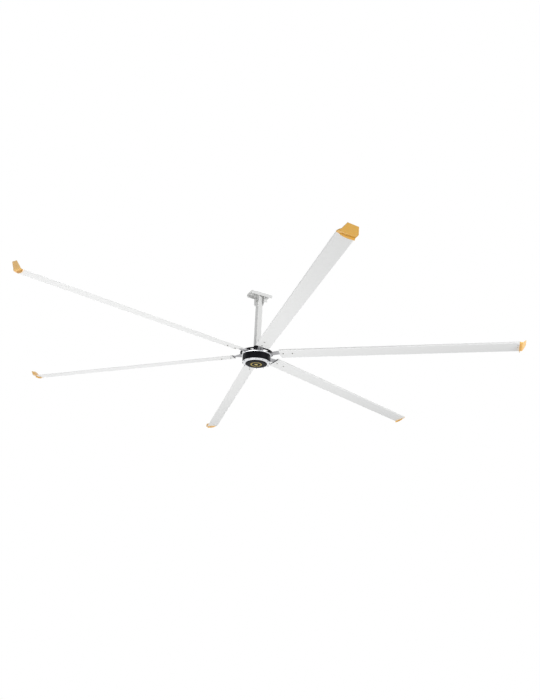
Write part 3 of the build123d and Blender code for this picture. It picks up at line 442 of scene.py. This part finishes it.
gusset_welds = bmesh.new()
for side, face, reach in ((-1, cheek_low.x, gusset_low.x), (1, cheek_high.x, gusset_high.x)):
    for half in (-1, 1):
        weld_bead(
            gusset_welds,
            Vector((face + side * 2 * weld_size, half * gusset_half, channel_ceiling)),
            Vector((reach - side * weld_inset, half * gusset_half, channel_ceiling)),
            (0, half, 0),
            (0, 0, -1),
            gusset_weld_share * weld_size,
        )
        weld_bead(
            gusset_welds,
            Vector((face, half * gusset_half, channel_ceiling - 2 * weld_size)),
            Vector((face, half * gusset_half, gusset_low.z + weld_inset)),
            (0, half, 0),
            (side, 0, 0),
            gusset_weld_share * weld_size,
        )
finished_piece("gusset_welds", gusset_welds, weld_finish, "mount")


# Stage: a pale floor far below the fan, seen as white and fading out to the background
def light_path_seen(tree):
    """1 for rays that come straight from the camera, or by way of gloss or glass."""
    path = tree.nodes.new("ShaderNodeLightPath")
    total = path.outputs["Is Camera Ray"]
    for other in ("Is Glossy Ray", "Is Transmission Ray"):
        joined = tree.nodes.new("ShaderNodeMath")
        joined.operation = "MAXIMUM"
        tree.links.new(total, joined.inputs[0])
        tree.links.new(path.outputs[other], joined.inputs[1])
        total = joined.outputs["Value"]
    return total


def floor_material():
    material = bpy.data.materials.new("pale_floor")
    material.use_nodes = True
    tree = material.node_tree
    shader = tree.nodes["Principled BSDF"]
    shader.inputs["Base Color"].default_value = floor_tone + (1.0,)
    shader.inputs["Roughness"].default_value = 0.9
    shader.inputs["Specular IOR Level"].default_value = 0.0
    white = tree.nodes.new("ShaderNodeEmission")
    place = tree.nodes.new("ShaderNodeTexCoord")
    radius = tree.nodes.new("ShaderNodeVectorMath")
    radius.operation = "LENGTH"
    fade = tree.nodes.new("ShaderNodeMapRange")
    fade.inputs["From Max"].default_value = floor_fade_radius
    fade.inputs["To Min"].default_value = 1 - floor_shadow_share
    seen = tree.nodes.new("ShaderNodeMath")
    seen.operation = "MULTIPLY"
    shown = tree.nodes.new("ShaderNodeMixShader")
    tree.links.new(place.outputs["Object"], radius.inputs[0])
    tree.links.new(radius.outputs["Value"], fade.inputs["Value"])
    tree.links.new(fade.outputs["Result"], seen.inputs[0])
    tree.links.new(light_path_seen(tree), seen.inputs[1])
    tree.links.new(seen.outputs["Value"], shown.inputs["Fac"])
    tree.links.new(shader.outputs["BSDF"], shown.inputs[1])
    tree.links.new(white.outputs["Emission"], shown.inputs[2])
    tree.links.new(shown.outputs["Shader"], tree.nodes["Material Output"].inputs["Surface"])
    return material


floor_mesh = bmesh.new()
bmesh.ops.create_grid(
    floor_mesh, x_segments=floor_squares, y_segments=floor_squares, size=floor_half_width
)
floor_data = bpy.data.meshes.new("floor")
floor_mesh.to_mesh(floor_data)
floor_mesh.free()
floor_data.materials.append(floor_material())
floor = bpy.data.objects.new("floor", floor_data)
floor.location.z = floor_level
bpy.context.scene.collection.objects.link(floor)

world = bpy.data.worlds.new("studio")
bpy.context.scene.world = world
world.use_nodes = True
world_tree = world.node_tree
soft_light = world_tree.nodes["Background"]
soft_light.inputs["Color"].default_value = world_tone + (1.0,)
white_background = world_tree.nodes.new("ShaderNodeBackground")
white_background.inputs["Color"].default_value = (1, 1, 1, 1)
world_mix = world_tree.nodes.new("ShaderNodeMixShader")
world_tree.links.new(light_path_seen(world_tree), world_mix.inputs["Fac"])
world_tree.links.new(soft_light.outputs["Background"], world_mix.inputs[1])
world_tree.links.new(white_background.outputs["Background"], world_mix.inputs[2])
world_output = world_tree.nodes["World Output"]
world_tree.links.new(world_mix.outputs["Shader"], world_output.inputs["Surface"])


def soft_box(name, place, aim, size, power):
    light = bpy.data.lights.new(name, "AREA")
    light.shape = "SQUARE"
    light.size = size
    light.energy = power
    lamp = bpy.data.objects.new(name, light)
    lamp.location = place
    lamp.rotation_euler = (Vector(aim) - Vector(place)).to_track_quat("-Z", "Y").to_euler()
    lamp.visible_camera = False
    bpy.context.scene.collection.objects.link(lamp)


for lamp_name, lamp_place, lamp_size, lamp_power in soft_boxes:
    soft_box(lamp_name, lamp_place, (0, 0, hub_level), lamp_size, lamp_power)

# Camera
camera_data = bpy.data.cameras.new("photo_camera")
camera_data.sensor_width = sensor_size
camera_data.sensor_fit = "AUTO"
camera_data.lens = sensor_size * focal_length_px / photo_height
camera = bpy.data.objects.new("photo_camera", camera_data)
bpy.context.scene.collection.objects.link(camera)
plan_turn = Matrix.Rotation(-camera_turn, 3, "Z")
back_distance = camera_distance * math.cos(camera_depth_angle)
camera_drop = camera_distance * math.sin(camera_depth_angle)
camera_place = plan_turn @ Vector((0, -back_distance, 0)) + Vector((0, 0, hub_level - camera_drop))
forward = Vector(
    (
        math.sin(aim_azimuth) * math.cos(aim_elevation),
        math.cos(aim_azimuth) * math.cos(aim_elevation),
        math.sin(aim_elevation),
    )
)
level_right = Vector((math.cos(aim_azimuth), -math.sin(aim_azimuth), 0))
level_up = level_right.cross(forward)
right = level_right * math.cos(camera_roll) - level_up * math.sin(camera_roll)
up = level_right * math.sin(camera_roll) + level_up * math.cos(camera_roll)
facing = plan_turn @ Matrix((right, up, -forward)).transposed()
camera.matrix_world = Matrix.Translation(camera_place) @ facing.to_4x4()
camera_data.clip_end = camera_reach
bpy.context.scene.camera = camera

bpy.context.scene.view_settings.view_transform = "Standard"

bpy.context.view_layer.update()
